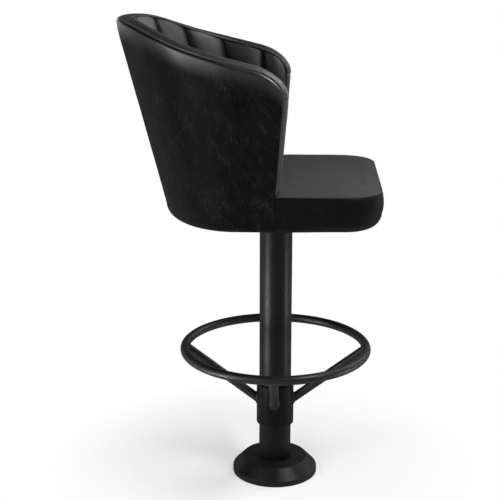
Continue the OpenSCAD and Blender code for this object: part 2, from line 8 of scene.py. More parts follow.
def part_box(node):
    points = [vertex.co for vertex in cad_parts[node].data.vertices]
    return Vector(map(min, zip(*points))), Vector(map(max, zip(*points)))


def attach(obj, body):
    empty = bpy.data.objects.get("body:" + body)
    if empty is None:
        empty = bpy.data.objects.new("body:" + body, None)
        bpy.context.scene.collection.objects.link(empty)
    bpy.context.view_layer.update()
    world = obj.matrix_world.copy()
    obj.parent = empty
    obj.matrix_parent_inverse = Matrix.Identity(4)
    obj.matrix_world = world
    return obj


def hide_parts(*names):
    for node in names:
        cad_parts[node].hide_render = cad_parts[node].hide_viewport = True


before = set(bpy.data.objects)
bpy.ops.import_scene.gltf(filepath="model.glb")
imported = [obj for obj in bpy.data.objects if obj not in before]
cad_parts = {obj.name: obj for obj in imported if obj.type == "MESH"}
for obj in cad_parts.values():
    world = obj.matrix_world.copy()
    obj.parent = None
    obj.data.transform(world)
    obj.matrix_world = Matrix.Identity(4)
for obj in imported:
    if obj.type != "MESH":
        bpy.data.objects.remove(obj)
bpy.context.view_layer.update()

scene = bpy.context.scene

# Lengths in this script are in millimetres, and turn into metres when a mesh is made.
MM = 0.001

# Sizes of the seat, the same as in the frame's source.
HALF_W = 236.0
SEAT_FRONT = 233.0
SEAT_CORNER_R = 85.0
SEAT_BASE = 656.5
SEAM_Z = 737.0
BASE_EDGE_R = 24.0
FRONT_EDGE_R = 34.0
EDGE_Z = SEAT_BASE + BASE_EDGE_R
BOARD_TOP = 678.3
CUSHION_EDGE = 3.5
CUSHION_CROWN = 8.0
PAD_Z = 742.1
LEATHER_T = 3.5
GAP = 0.3
BACK_START = 84.0
BACK_FOOT = 252.0
LEAN = tan(radians(14.9))
WING_FOOT = -2.5
WING_LEAN = 4.4
WING_SLOPE = tan(radians(WING_LEAN))
RIM_Z0 = SEAT_BASE + 434.0
RIM_PEAK = 21.3
PEAK_RUN = 110.0
RIM_SLOPE = 0.25
RIM_EASE = 50.0
RIM_BACK_Y = BACK_FOOT + LEAN * (RIM_Z0 - EDGE_Z)
CORNER_RUN = 70.0
CORNER_DROP = 43.0
PAD_D = 16.9
PAD_VALLEY = 16.0
CHANNEL_SWELL = 16.0
VALLEY_ANGLES = (11.0, 33.0, 54.0, 77.5)
WING_CHANNEL = 57.0
BAND_W = 40.0
BAND_RISE = 9.5
BAND_EASE = 5.5
FACING_SWELL = 11.0
SEAM_DRAW = 8.8
SEAM_RUN = 46.0
SEAM_ROLL = 7.5
FACING_DRAW = 2.2
BORDER_SWELL = 3.0
TURN_UNDER = 46.0


# The wall of the back

def back_depth(z):
    return BACK_FOOT + LEAN * max(0.0, z - EDGE_Z) - BACK_START


def wing_y(z):
    return WING_FOOT - WING_SLOPE * max(0.0, z - PAD_Z)


def rim_z(y):
    """Height of the rim's seam at a place along the side, before the wing's corner."""
    u = RIM_BACK_Y - y
    peak = RIM_PEAK * (1 - exp(-(u / PEAK_RUN) ** 2))
    return RIM_Z0 - RIM_SLOPE * (hypot(u, RIM_EASE) - RIM_EASE) - peak


def wall(angle, share, d, z):
    """A point d inside the outside of the back's wall, at an angle round it and a share of its side."""
    a = radians(angle)
    y = BACK_START + (back_depth(z) - d) * cos(a) + share * (wing_y(z) - BACK_START)
    return Vector(((HALF_W - d) * sin(a), y, z))


def settle(height):
    """The height that a function of the height gives back unchanged."""
    z = RIM_Z0
    for _ in range(6):
        z = height(z)
    return z


def arc_z(angle):
    """Height of the rim's seam at an angle round the back."""
    return settle(lambda z: rim_z(wall(angle, 0, 0, z).y))


WING_END = wing_y(settle(lambda z: rim_z(wing_y(z)) - CORNER_DROP))
CORNER_SHIFT = WING_SLOPE * CORNER_DROP
CORNER_START = WING_END + CORNER_RUN - CORNER_SHIFT
SIDE_VALLEY_Y = WING_END + WING_CHANNEL


def corner_y(a):
    return CORNER_START - CORNER_RUN * sin(a) + CORNER_SHIFT * (1 - cos(a))


def corner_angle(y):
    """Angle round the wing's corner, from 0 at its start to a quarter turn at the front edge."""
    a = 0.0
    for _ in range(8):
        ahead = CORNER_START - y + CORNER_SHIFT * (1 - cos(a))
        a = asin(min(1.0, max(0.0, ahead / CORNER_RUN)))
    return a


def side_z(y):
    """Height of the rim's seam along the side, where the wing's corner falls away."""
    return rim_z(y) - CORNER_DROP * (1 - cos(corner_angle(y)))


def side_station(y, z):
    """A station of the wall on its side: (angle, share of the side, height)."""
    return (90.0, (y - BACK_START) / (wing_y(z) - BACK_START), z)


def corner_station(a):
    return side_station(corner_y(a), rim_z(corner_y(a)) - CORNER_DROP * (1 - cos(a)))


def rim_stations(corner_steps, side_steps, arc_steps):
    """Stations from the left wing's front edge round the back to the right wing's."""
    half = [corner_station(pi / 2 * (1 - i / corner_steps)) for i in range(corner_steps + 1)]
    for i in range(1, side_steps):
        y = CORNER_START + (BACK_START - CORNER_START) * i / side_steps
        half.append(side_station(y, rim_z(y)))
    left = [(-s[0], s[1], s[2]) for s in half]
    angles = [180.0 * i / arc_steps - 90.0 for i in range(arc_steps + 1)]
    return left + [(a, 0.0, arc_z(a)) for a in angles] + half[::-1]


FRONT_Z = corner_station(pi / 2)[2]


def draw_in(station):
    """How far the outer cover draws in at its seam under the rim band."""
    return FACING_DRAW + (SEAM_DRAW - FACING_DRAW) * (1 - station[1] ** 2)


def roll(distance, run):
    """Quarter circle from 1 at an edge to 0 at the end of its run."""
    return 1 - sqrt(max(0.0, 1 - (1 - min(1.0, distance / run)) ** 2))


def soft_roll(distance):
    """How far, from 0 to 1, the cover has drawn in at a distance under its seam."""
    slow = max(0.0, 1 - distance / SEAM_RUN) ** 2
    return 0.36 * slow + 0.64 * roll(distance, SEAM_ROLL)


def bisect(holds, low, high, steps):
    """The place where a test changes, between low, where it holds, and high, where it doesn't."""
    for _ in range(steps):
        middle = (low + high) / 2
        if holds(middle):
            low = middle
        else:
            high = middle
    return middle


def wobble(p, size, seed):
    """Smooth random value from about -1 to 1 that changes over about size millimetres."""
    q = Vector(p) / size + Vector((seed * 17.3, seed * 5.1, -seed * 9.7))
    return noise.noise(q)


# Making meshes

def rub_and_highlight(piece, values):
    """Keeps, at each point, how far the leather is burnished there. This also sets a lighter colour there
    that is partly a painted highlight.
    """
    layer = piece.data.attributes.new("rub_and_highlight", "FLOAT", "POINT")
    layer.data.foreach_set("value", values)


def make(name, verts, faces, body, crease=None):
    mesh = bpy.data.meshes.new(name)
    mesh.from_pydata([Vector(v) * MM for v in verts], [], faces)
    bm = bmesh.new()
    bm.from_mesh(mesh)
    bmesh.ops.recalc_face_normals(bm, faces=bm.faces)
    bm.to_mesh(mesh)
    bm.free()
    mesh.shade_smooth()
    if crease:
        mesh.set_sharp_from_angle(angle=radians(crease))
    piece = bpy.data.objects.new(name, mesh)
    scene.collection.objects.link(piece)
    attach(piece, body)
    return piece


def sheet_mesh(outer, inner):
    """Closed sheet between two grids, each a list of columns of points."""
    n = len(outer)
    m = len(outer[0])
    half = n * m
    verts = [p for column in outer for p in column] + [p for column in inner for p in column]
    faces = []
    for i in range(n - 1):
        for k in range(m - 1):
            a = i * m + k
            b = a + m
            faces.append((a, b, b + 1, a + 1))
            faces.append((a + half, a + 1 + half, b + 1 + half, b + half))
    for i in range(n - 1):
        a = i * m
        b = a + m
        faces.append((b, a, a + half, b + half))
        a += m - 1
        b += m - 1
        faces.append((a, b, b + half, a + half))
    for k in range(m - 1):
        faces.append((k, k + 1, k + 1 + half, k + half))
        a = (n - 1) * m + k
        faces.append((a + 1, a, a + half, a + 1 + half))
    return verts, faces


def hide_mesh(column, stations):
    """Closed sheet of leather, from a function that gives its column at a station and a depth."""
    return sheet_mesh([column(s, 0.0) for s in stations], [column(s, LEATHER_T) for s in stations])


def join_loops(faces, first, second, n):
    """Adds the faces between two loops of n points, each given by the number of its first point."""
    for k in range(n):
        m = (k + 1) % n
        faces.append((first + k, first + m, second + m, second + k))


def loft_mesh(loops):
    """Closed solid through loops of points, with a fan at each end."""
    n = len(loops[0])
    verts = [p for loop in loops for p in loop]
    faces = []
    for i in range(len(loops) - 1):
        join_loops(faces, i * n, (i + 1) * n, n)
    for start in (0, (len(loops) - 1) * n):
        middle = len(verts)
        verts.append(sum((Vector(verts[start + j]) for j in range(n)), Vector()) / n)
        for j in range(n):
            faces.append((start + j, start + (j + 1) % n, middle))
    return verts, faces


def circle(centre, radius, first, second, n):
    """The n points of a circle in the plane of two directions."""
    angles = [tau * k / n for k in range(n)]
    return [centre + radius * (cos(a) * first + sin(a) * second) for a in angles]


SWELL_STEPS = 20


def puff(piece, pinned, pressure, cap):
    """Swells a padded piece with a cloth simulation, by at most cap mm, and keeps the result."""
    base = [v.co.copy() for v in piece.data.vertices]
    group = piece.vertex_groups.new(name="pinned")
    group.add([i for i in range(len(base)) if pinned[i]], 1.0, "REPLACE")
    cloth = piece.modifiers.new("Cloth", "CLOTH")
    rules = cloth.settings
    rules.quality = 6
    rules.mass = 0.3
    rules.tension_stiffness = 15.0
    rules.compression_stiffness = 15.0
    rules.shear_stiffness = 5.0
    rules.bending_stiffness = 0.5
    rules.use_pressure = True
    rules.uniform_pressure_force = pressure
    rules.vertex_group_mass = "pinned"
    rules.effector_weights.gravity = 0.0
    cloth.collision_settings.use_collision = False
    cloth.point_cache.frame_start = 1
    cloth.point_cache.frame_end = SWELL_STEPS
    for step in range(1, SWELL_STEPS + 1):
        scene.frame_set(step)
    graph = bpy.context.evaluated_depsgraph_get()
    swollen = piece.evaluated_get(graph).to_mesh()
    moved = [v.co.copy() for v in swollen.vertices]
    piece.modifiers.remove(cloth)
    piece.vertex_groups.remove(group)
    farthest = 0.0
    for v, old, new in zip(piece.data.vertices, base, moved):
        shift = new - old
        farthest = max(farthest, shift.length)
        if shift.length > cap * MM:
            shift *= cap * MM / shift.length
        v.co = old + shift
    piece.data.update()
    scene.frame_set(1)
    print(f"{piece.name}: swelled by up to {farthest / MM:.1f} mm")


# Materials

def add_node(tree, kind, values):
    """Adds a node, and sets the inputs that values holds by name or number."""
    node = tree.nodes.new(kind)
    for socket, value in values.items():
        node.inputs[socket].default_value = value
    return node


def math_node(tree, kind, a, b):
    node = tree.nodes.new("ShaderNodeMath")
    node.operation = kind
    for socket, value in zip(node.inputs, (a, b)):
        if isinstance(value, (int, float)):
            socket.default_value = value
        else:
            tree.links.new(value, socket)
    return node.outputs[0]


def map_range(tree, value, low, high, out_low, out_high, curve="LINEAR"):
    """The value, brought from between low and high to between out_low and out_high."""
    node = add_node(tree, "ShaderNodeMapRange", {"From Min": low, "From Max": high,
                                                 "To Min": out_low, "To Max": out_high})
    node.interpolation_type = curve
    tree.links.new(value, node.inputs["Value"])
    return node.outputs["Result"]


def mix_colours(tree, factor, first, second):
    node = tree.nodes.new("ShaderNodeMix")
    node.data_type = "RGBA"
    sockets = [s for s in node.inputs if s.type == "RGBA"]
    for socket, colour in zip(sockets, (first, second)):
        if isinstance(colour, tuple):
            socket.default_value = (*colour, 1.0)
        else:
            tree.links.new(colour, socket)
    tree.links.new(factor, node.inputs["Factor"])
    return [s for s in node.outputs if s.type == "RGBA"][0]


class Shader:
    """Builds one node material. Its coordinates are the object's own, in millimetres."""

    def __init__(self, name):
        self.material = bpy.data.materials.new(name)
        self.material.use_nodes = True
        self.tree = self.material.node_tree
        self.surface = self.tree.nodes["Principled BSDF"]
        place = self.tree.nodes.new("ShaderNodeTexCoord")
        scale = self.tree.nodes.new("ShaderNodeVectorMath")
        scale.operation = "SCALE"
        scale.inputs["Scale"].default_value = 1 / MM
        self.link(place.outputs["Object"], scale.inputs[0])
        self.place = scale.outputs[0]

    def link(self, source, target):
        self.tree.links.new(source, target)

    def set(self, **values):
        for name, value in values.items():
            self.surface.inputs[name.replace("_", " ")].default_value = value

    def noise(self, size, detail=2.0, roughness=0.5, vector=None, output="Fac"):
        node = add_node(self.tree, "ShaderNodeTexNoise",
                        {"Scale": 1.0 / size, "Detail": detail, "Roughness": roughness})
        self.link(vector or self.place, node.inputs["Vector"])
        return node.outputs[output]

    def cells(self, size, vector):
        """Distance to the edge of the nearest cell of a pattern of cells."""
        node = add_node(self.tree, "ShaderNodeTexVoronoi", {"Scale": 1.0 / size})
        node.feature = "DISTANCE_TO_EDGE"
        self.link(vector, node.inputs["Vector"])
        return node.outputs["Distance"]

    def vector_math(self, kind, source, values):
        node = add_node(self.tree, "ShaderNodeVectorMath", {1: values})
        node.operation = kind
        self.link(source, node.inputs[0])
        return node

    def warp(self, size, amount, detail=2.0):
        """The coordinates, pushed about by up to amount millimetres."""
        centre = self.vector_math("SUBTRACT", self.noise(size, detail, output="Color"), (0.5, 0.5, 0.5))
        push = self.vector_math("MULTIPLY_ADD", centre.outputs[0], (2 * amount, 2 * amount, 2 * amount))
        self.link(self.place, push.inputs[2])
        return push.outputs[0]

    def stretch(self, factors, vector=None):
        return self.vector_math("MULTIPLY", vector or self.place, factors).outputs[0]

    def moved(self, distance, vector=None):
        along = (distance, distance, distance)
        return self.vector_math("ADD", vector or self.place, along).outputs[0]

    def turned(self, angle, vector):
        """Coordinates turned about the X axis."""
        node = add_node(self.tree, "ShaderNodeVectorRotate", {"Angle": angle})
        node.rotation_type = "X_AXIS"
        self.link(vector, node.inputs["Vector"])
        return node.outputs[0]

    def spread(self, value, low, high, out_low=0.0, out_high=1.0):
        return map_range(self.tree, value, low, high, out_low, out_high)

    def math(self, kind, a, b):
        return math_node(self.tree, kind, a, b)

    def colours(self, factor, first, second):
        return mix_colours(self.tree, factor, first, second)

    def attribute(self, name):
        node = self.tree.nodes.new("ShaderNodeAttribute")
        node.attribute_name = name
        return node.outputs["Fac"]

    def duller_edge(self, roughness):
        """Roughness that grows where the surface is seen at a low angle, as on a hazy coat."""
        node = add_node(self.tree, "ShaderNodeLayerWeight", {"Blend": 0.5})
        low = self.spread(node.outputs["Facing"], 0.3, 0.9, 0.0, 0.5)
        return self.math("ADD", roughness, low)

    def bump(self, height, depth, normal=None):
        """Raises the surface by height times depth millimetres."""
        node = add_node(self.tree, "ShaderNodeBump", {"Strength": 1.0, "Distance": depth * MM})
        self.link(height, node.inputs["Height"])
        if normal:
            self.link(normal, node.inputs["Normal"])
        return node.outputs["Normal"]

    def finish(self, colour, roughness, normal):
        self.link(colour, self.surface.inputs["Base Color"])
        self.link(roughness, self.surface.inputs["Roughness"])
        self.link(normal, self.surface.inputs["Normal"])
        return self.material


HAZE_COLOUR = (0.010, 0.0098, 0.0095)
SCRATCH_COLOUR = (0.026, 0.0255, 0.0245)
# Lighter colour where the leather is burnished at the rim: partly wear, partly a painted highlight.
RUB_AND_HIGHLIGHT_COLOUR = (0.006, 0.0058, 0.0055)
# Painted shade for the creases of the leather's grain.
CREASE_SHADE_COLOUR = (0.001, 0.001, 0.001)
LANE_TURN = -1.05
# Each set of scratches: its direction in radians, and how far its pattern is moved
SCRATCH_SETS = ((-1.05, 300.0), (-0.8, 4100.0), (-1.35, 9700.0), (-1.9, 7000.0))


def leather(name, dark, light, rough, specular, scratches=0.0, wax=0.0):
    """Grained leather. Scratches adds haze and hair-fine scratches, wax a gloss where the leather is
    burnished, with a lighter colour there that is partly wear and partly a painted highlight.
    """
    s = Shader(name)
    s.set(Specular_IOR_Level=specular)
    soft = s.warp(5.0, 0.7)
    grain = s.spread(s.cells(1.5, soft), 0.0, 0.16)
    coarse = s.spread(s.cells(4.2, soft), 0.0, 0.09)
    patches = s.noise(60.0, 3.0)
    colour = s.colours(s.spread(patches, 0.3, 0.7), dark, light)
    rougher = s.spread(patches, 0.3, 0.7, rough - 0.04, rough + 0.04)
    normal = s.bump(coarse, 0.05)
    normal = s.bump(grain, 0.09, normal)
    normal = s.bump(s.noise(0.45, 1.0), 0.02, normal)
    if scratches:
        bent = s.warp(90.0, 7.0, 1.0)
        lane = s.stretch((1.0, 0.35, 1.0), s.turned(LANE_TURN, bent))
        haze = s.spread(s.noise(30.0, 2.0, vector=lane), 0.42, 0.7)
        marks = None
        for angle, shift in SCRATCH_SETS:
            along = s.stretch((1.0, 0.07, 1.0), s.turned(angle, s.moved(shift, bent)))
            hair = s.spread(s.noise(2.0, 1.0, vector=along), 0.56, 0.76)
            where = s.spread(s.noise(28.0, 1.0, vector=s.moved(shift)), 0.42, 0.62)
            hair = s.math("MULTIPLY", hair, where)
            marks = s.math("MAXIMUM", marks, hair) if marks else hair
        marks = s.math("MULTIPLY", marks, s.spread(haze, 0.0, 1.0, 0.3 * scratches, scratches))
        colour = s.colours(s.math("MULTIPLY", haze, 0.3 * scratches), colour, HAZE_COLOUR)
        colour = s.colours(marks, colour, SCRATCH_COLOUR)
        rougher = s.math("ADD", rougher, s.math("MULTIPLY", marks, 0.1))
    if wax:
        rub_and_highlight_share = s.attribute("rub_and_highlight")
        s.set(Coat_Roughness=0.3)
        s.link(s.math("MULTIPLY", rub_and_highlight_share, wax), s.surface.inputs["Coat Weight"])
        rougher = s.math("SUBTRACT", rougher, s.math("MULTIPLY", rub_and_highlight_share, 0.05))
        # Lighter colour where burnished: partly wear and partly a painted highlight on the rim's roll.
        colour = s.colours(rub_and_highlight_share, colour, RUB_AND_HIGHLIGHT_COLOUR)
    # Painted shade: the leather darkens towards the grain's creases.
    crease_shaded = s.colours(s.spread(grain, 0.0, 1.0, 0.7, 1.0), CREASE_SHADE_COLOUR, colour)
    return s.finish(crease_shaded, s.duller_edge(rougher), normal)


def powder_coat(name, dark, light, rough, specular):
    s = Shader(name)
    s.set(Specular_IOR_Level=specular)
    speckle = s.noise(0.5, 2.0, 0.6)
    peel = s.noise(2.6, 1.0)
    patches = s.noise(45.0, 3.0)
    colour = s.colours(s.spread(patches, 0.35, 0.65), dark, light)
    rougher = s.spread(s.noise(14.0, 4.0), 0.3, 0.7, rough - 0.05, rough + 0.05)
    normal = s.bump(peel, 0.035)
    normal = s.bump(speckle, 0.012, normal)
    return s.finish(colour, s.duller_edge(rougher), normal)


def metal(name, dark, light, rough, grain):
    s = Shader(name)
    s.set(Metallic=1.0)
    streak = s.noise(1.0, 3.0, 0.6, s.stretch(grain))
    stain = s.noise(9.0, 3.0)
    colour = s.colours(s.spread(stain, 0.3, 0.7), dark, light)
    rougher = s.spread(streak, 0.3, 0.7, rough - 0.08, rough + 0.1)
    return s.finish(colour, rougher, s.bump(streak, 0.01))


def primer(name):
    s = Shader(name)
    s.set(Specular_IOR_Level=0.35)
    grit = s.noise(0.7, 3.0, 0.65)
    stain = s.noise(22.0, 4.0)
    colour = s.colours(s.spread(stain, 0.3, 0.7), (0.016, 0.016, 0.017), (0.03, 0.03, 0.031))
    return s.finish(colour, s.spread(grit, 0.3, 0.7, 0.5, 0.66), s.bump(grit, 0.03))


def plywood(name):
    s = Shader(name)
    bent = s.warp(40.0, 3.0)
    plies = s.noise(1.0, 1.0, 0.4, s.stretch((0.02, 0.02, 0.62), bent))
    fibre = s.noise(1.0, 4.0, 0.6, s.stretch((0.02, 0.9, 0.9), bent))
    knots = s.noise(70.0, 2.0)
    wood = s.colours(s.spread(fibre, 0.3, 0.7), (0.30, 0.17, 0.08), (0.46, 0.30, 0.16))
    wood = s.colours(s.spread(plies, 0.52, 0.58, 0.0, 0.55), wood, (0.20, 0.11, 0.05))
    wood = s.colours(s.spread(knots, 0.66, 0.74, 0.0, 0.5), wood, (0.16, 0.08, 0.035))
    return s.finish(wood, s.spread(fibre, 0.3, 0.7, 0.55, 0.75), s.bump(fibre, 0.06))


def nylon(name):
    s = Shader(name)
    s.set(Specular_IOR_Level=0.4, Subsurface_Weight=0.1, Subsurface_Scale=0.002)
    haze = s.noise(6.0, 3.0)
    marks = s.noise(0.8, 2.0)
    colour = s.colours(s.spread(haze, 0.3, 0.7), (0.62, 0.58, 0.48), (0.74, 0.71, 0.62))
    return s.finish(colour, s.spread(marks, 0.3, 0.7, 0.36, 0.5), s.bump(marks, 0.01))


def cambric(name):
    s = Shader(name)
    s.set(Specular_IOR_Level=0.1, Sheen_Weight=0.2, Sheen_Roughness=0.6)
    fibres = s.noise(1.0, 5.0, 0.75, s.stretch((0.35, 1.3, 1.0), s.warp(3.0, 1.2)))
    felt = s.noise(2.2, 4.0, 0.7)
    colour = s.colours(s.spread(fibres, 0.35, 0.65), (0.006, 0.006, 0.006), (0.021, 0.021, 0.021))
    return s.finish(colour, s.spread(felt, 0.3, 0.7, 0.85, 0.98), s.bump(fibres, 0.12))


def thread(name):
    s = Shader(name)
    s.set(Specular_IOR_Level=0.3)
    twist = s.noise(0.35, 2.0, 0.6, s.stretch((1.0, 1.0, 2.5)))
    colour = s.colours(twist, (0.02, 0.02, 0.02), (0.06, 0.06, 0.058))
    return s.finish(colour, s.spread(twist, 0.3, 0.7, 0.4, 0.6), s.bump(twist, 0.08))


BLACK = (0.0016, 0.0016, 0.0016)
WORN_BLACK = (0.0030, 0.0029, 0.0028)
DEEP_COAT = (0.0016, 0.0016, 0.0017)
WORN_COAT = (0.0028, 0.0028, 0.0029)

outer_leather = leather("outer_leather", BLACK, WORN_BLACK, 0.30, 0.035, scratches=1.0, wax=0.85)
border_leather = leather("border_leather", BLACK, WORN_BLACK, 0.32, 0.05, scratches=0.3)
inner_leather = leather("inner_leather", (0.0040, 0.0040, 0.0040), (0.0070, 0.0069, 0.0067), 0.34, 0.44)
band_leather = leather("band_leather", (0.0026, 0.0026, 0.0026), (0.0046, 0.0045, 0.0044), 0.33, 0.44)
seat_leather = leather("seat_leather", (0.0040, 0.0040, 0.0040), (0.0065, 0.0064, 0.0062), 0.42, 0.37,
                       scratches=0.15)
column_coat = powder_coat("column_coat", DEEP_COAT, WORN_COAT, 0.4, 0.11)
ring_coat = powder_coat("ring_coat", (0.0030, 0.0030, 0.0032), (0.0048, 0.0048, 0.0050), 0.4, 0.22)
# A darker copy of the ring's coat for the collar: painted shade, where the ring and spokes shade it.
collar_shaded_coat = powder_coat("collar_shaded_coat", DEEP_COAT, WORN_COAT, 0.34, 0.06)
cover_coat = powder_coat("cover_coat", (0.0022, 0.0022, 0.0023), (0.0036, 0.0036, 0.0038), 0.42, 0.17)
bright_steel = metal("bright_steel", (0.42, 0.42, 0.43), (0.60, 0.60, 0.61), 0.3, (0.4, 0.4, 3.0))
bronze = metal("bronze", (0.32, 0.20, 0.09), (0.47, 0.31, 0.15), 0.34, (0.3, 0.3, 2.0))
primed_steel = primer("primed_steel")
nylon_white = nylon("nylon")
ply = plywood("plywood")
lining = cambric("cambric")
sewing = thread("thread")

# Which nodes of the frame have which finish
NODE_FINISHES = (
    (primed_steel, "floor_plate seat_plate"),
    (column_coat, "column"),
    (cover_coat, "base_cover"),
    (ring_coat, "foot_ring spoke_left spoke_right spoke_front spoke_rear"),
    (collar_shaded_coat, "foot_ring_collar"),
    (bright_steel, "collar_set_screws bearing_housing spindle keeper_washer circlip"),
    (bright_steel, "plate_bolts plate_washers tee_nuts back_screws"),
    (bronze, "upper_bush lower_bush"),
    (nylon_white, "thrust_washer"),
    (ply, "seat_board back_shell"),
    (lining, "dust_cover"),
    (outer_leather, "outer_back_cover"),
    (inner_leather, "inner_back_pad rim_band left_facing right_facing"),
    (seat_leather, "seat_cushion"),
    (border_leather, "seat_border"),
)
for finish, names in NODE_FINISHES:
    for name in names.split():
        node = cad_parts[name]
        if not node.material_slots:
            node.data.materials.append(finish)
        for slot in node.material_slots:
            slot.material = finish


def dress(piece, material, replaced=()):
    """Gives a piece its material, and hides the nodes of the frame that it replaces."""
    piece.data.materials.clear()
    piece.data.materials.append(material)
    if replaced:
        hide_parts(*replaced)


# Outer cover of the back: leather stretched over the shell, rolled in at its seams

FRONT_RUN = 12.0
FRONT_ROLL = 2.0
COVER_ROWS = 24
ROLL_ROWS = 16
ROLL_CROWDING = 2.2
# Depth under the seam of the burnished band, which gets the wax gloss and a lighter colour that is partly
# a painted highlight.
RUB_AND_HIGHLIGHT_RUN = 44.0


def cover_point(station, z, t):
    """A point of the outer cover's wall, t inside its face."""
    top = draw_in(station) * soft_roll(station[2] - z)
    ahead = (1 - station[1]) * (BACK_START - wing_y(z)) if abs(station[0]) == 90.0 else 999.0
    front = FRONT_ROLL * roll(ahead, FRONT_RUN)
    drawn = (top ** 4 + front ** 4) ** 0.25
    p = wall(station[0], station[1], 0.0, z)
    drawn += 0.35 * (1 + wobble(p, 70.0, 1)) * min(1.0, (z - EDGE_Z) / 60.0) + 0.12 * wobble(p, 16.0, 2)
    return wall(station[0], station[1], t + max(0.0, drawn), z)


def edge_column(t, r, steps):
    """Rows from under the seat round its lower edge of radius r: (how far in, height)."""
    rows = [(TURN_UNDER - (TURN_UNDER - r) * i / 4, t) for i in range(4)]
    for i in range(steps + 1):
        a = radians(90.0 * (1 - i / steps))
        rows.append((r - (r - t) * cos(a), r - (r - t) * sin(a)))
    return rows


def cover_column(station, t):
    column = [wall(station[0], station[1], d, SEAT_BASE + h) for d, h in edge_column(t, BASE_EDGE_R, 8)]
    low = EDGE_Z
    high = station[2] - SEAM_RUN
    for i in range(1, COVER_ROWS + 1):
        column.append(cover_point(station, low + (high - low) * i / COVER_ROWS, t))
    for i in range(1, ROLL_ROWS + 1):
        rest = (1 - i / ROLL_ROWS) ** ROLL_CROWDING
        column.append(cover_point(station, station[2] - SEAM_RUN * rest, t))
    return column


def rim_top(p):
    """Height of the rim's seam above a point of the wall."""
    return side_z(p.y) if p.y < CORNER_START else rim_z(p.y)


cover_stations = rim_stations(corner_steps=16, side_steps=6, arc_steps=96)
outer_cover = make("outer_cover", *hide_mesh(cover_column, cover_stations), "seat", 50)
# How burnished each point is, fading under the seam. It drives the wax gloss and a lighter colour that is
# partly a painted highlight.
rub_and_highlight(outer_cover, [min(1.0, max(0.0, 1 - (rim_top(v.co / MM) - v.co.z / MM) / RUB_AND_HIGHLIGHT_RUN)) ** 1.6
                  for v in outer_cover.data.vertices])
dress(outer_cover, outer_leather, ["outer_back_cover"])


# Rim band and the facings that carry it down the wings' front edges

PULL_DEPTH = 0.6
PULL_WIDTH = 2.2


def band_section(start, rise, steps=34):
    """(distance in, height) across the band, with a valley where each double row of stitches pulls."""
    points = [(start + 1.6, -2.2), (start + 0.5, -1.0)]
    for i in range(steps + 1):
        a = pi * i / steps
        x = start + (BAND_W - start) * (1 - cos(a)) / 2
        h = GAP + rise * max(0.0, sin(a)) ** 0.75
        for row in (start + 2.4, BAND_W - 3.0):
            h -= PULL_DEPTH * exp(-((x - row) / PULL_WIDTH) ** 2)
        points.append((x, h))
    points += [(BAND_W - 0.5, -1.0), (BAND_W - 1.6, -2.2)]
    return points


def band_frames(stations):
    """For each station: its point on the rim, and the directions inwards and out of the band."""
    edge = [wall(s[0], s[1], 0.0, s[2]) for s in stations]
    up = Vector((0.0, -WING_SLOPE, 1.0))
    last = len(stations) - 1
    frames = []
    for i, s in enumerate(stations):
        a = radians(s[0])
        inward = Vector((-sin(a), -cos(a), 0.0))
        along = up if i == 0 else -up if i == last else edge[i + 1] - edge[i - 1]
        out = inward.cross(along).normalized()
        frames.append((edge[i], inward, out))
    return frames


def band_rise(station):
    ease = BAND_EASE * cos(radians(station[0]))
    return BAND_RISE - ease + (FACING_SWELL - BAND_RISE) * station[1] ** 2


band_stations = rim_stations(corner_steps=24, side_steps=8, arc_steps=130)
band_axes = band_frames(band_stations)


def band_point(i, x, h):
    edge, inward, out = band_axes[i]
    p = edge + x * inward
    ripple = 0.22 * wobble(p, 14.0, 3) + 0.3 * wobble(p, 45.0, 4)
    return p + (h + ripple * min(1.0, max(0.0, h) / 3.0)) * out


band = make("rim_band_padded", *loft_mesh([
    [band_point(i, x, h) for x, h in band_section(draw_in(s), band_rise(s))]
    for i, s in enumerate(band_stations)]), "seat", 60)
dress(band, band_leather, ["rim_band"])


def edge_height(d):
    return CUSHION_EDGE * sqrt(max(0.0, 1 - (1 - min(1.0, d / 25.0)) ** 2))


def cushion_top(d):
    return SEAM_Z + 0.3 + edge_height(d) + min(1.0, d / 50.0)


def facing_point(side, x, h, z):
    p = wall(-90.0, 1.0, x, z) + h * Vector((0.0, -1.0, -WING_SLOPE)).normalized()
    if z <= PAD_Z:
        p.z = cushion_top(max(12.0, x)) + 2 * GAP
    ripple = 0.25 * wobble(p, 22.0, 5 + side)
    p.y -= ripple * min(1.0, max(0.0, h) / 3.0)
    return Vector((-side * p.x, p.y, p.z))


FACING_ROWS = 40


def facing_share(f):
    """How full a facing is at a share of its height."""
    return 0.7 + 0.15 * min(1.0, f / 0.04) + 0.15 * max(0.0, (f - 0.04) / 0.96)


def facing_loops(side):
    loops = []
    top = FRONT_Z - GAP
    for k in range(FACING_ROWS + 1):
        f = k / FACING_ROWS
        z = PAD_Z + (top - PAD_Z) * f
        tuck = 1.0 - 0.35 * roll((1 - f) * (top - PAD_Z), 4.0)
        loops.append([facing_point(side, x, h * tuck, z)
                      for x, h in band_section(FACING_DRAW, FACING_SWELL * facing_share(f))])
    return loops


for side, label in ((-1, "left"), (1, "right")):
    facing = make(f"{label}_facing_padded", *loft_mesh(facing_loops(side)), "seat", 60)
    dress(facing, band_leather, [f"{label}_facing"])


# Fluted inside of the back: eleven sewn channels, swelled between their valleys

ROUND_SHARE = 0.66
PAD_ROWS = 56
PER_CHANNEL = 18
LAST_CROSS = 0.86
START_SWELL = 0.72


def place_of(station):
    """Place from 0 at the middle of the back to 1 at the wing's front edge."""
    return ROUND_SHARE * abs(station[0]) / 90 + (1 - ROUND_SHARE) * station[1]


VALLEY_PLACE = place_of(side_station(SIDE_VALLEY_Y, side_z(SIDE_VALLEY_Y)))

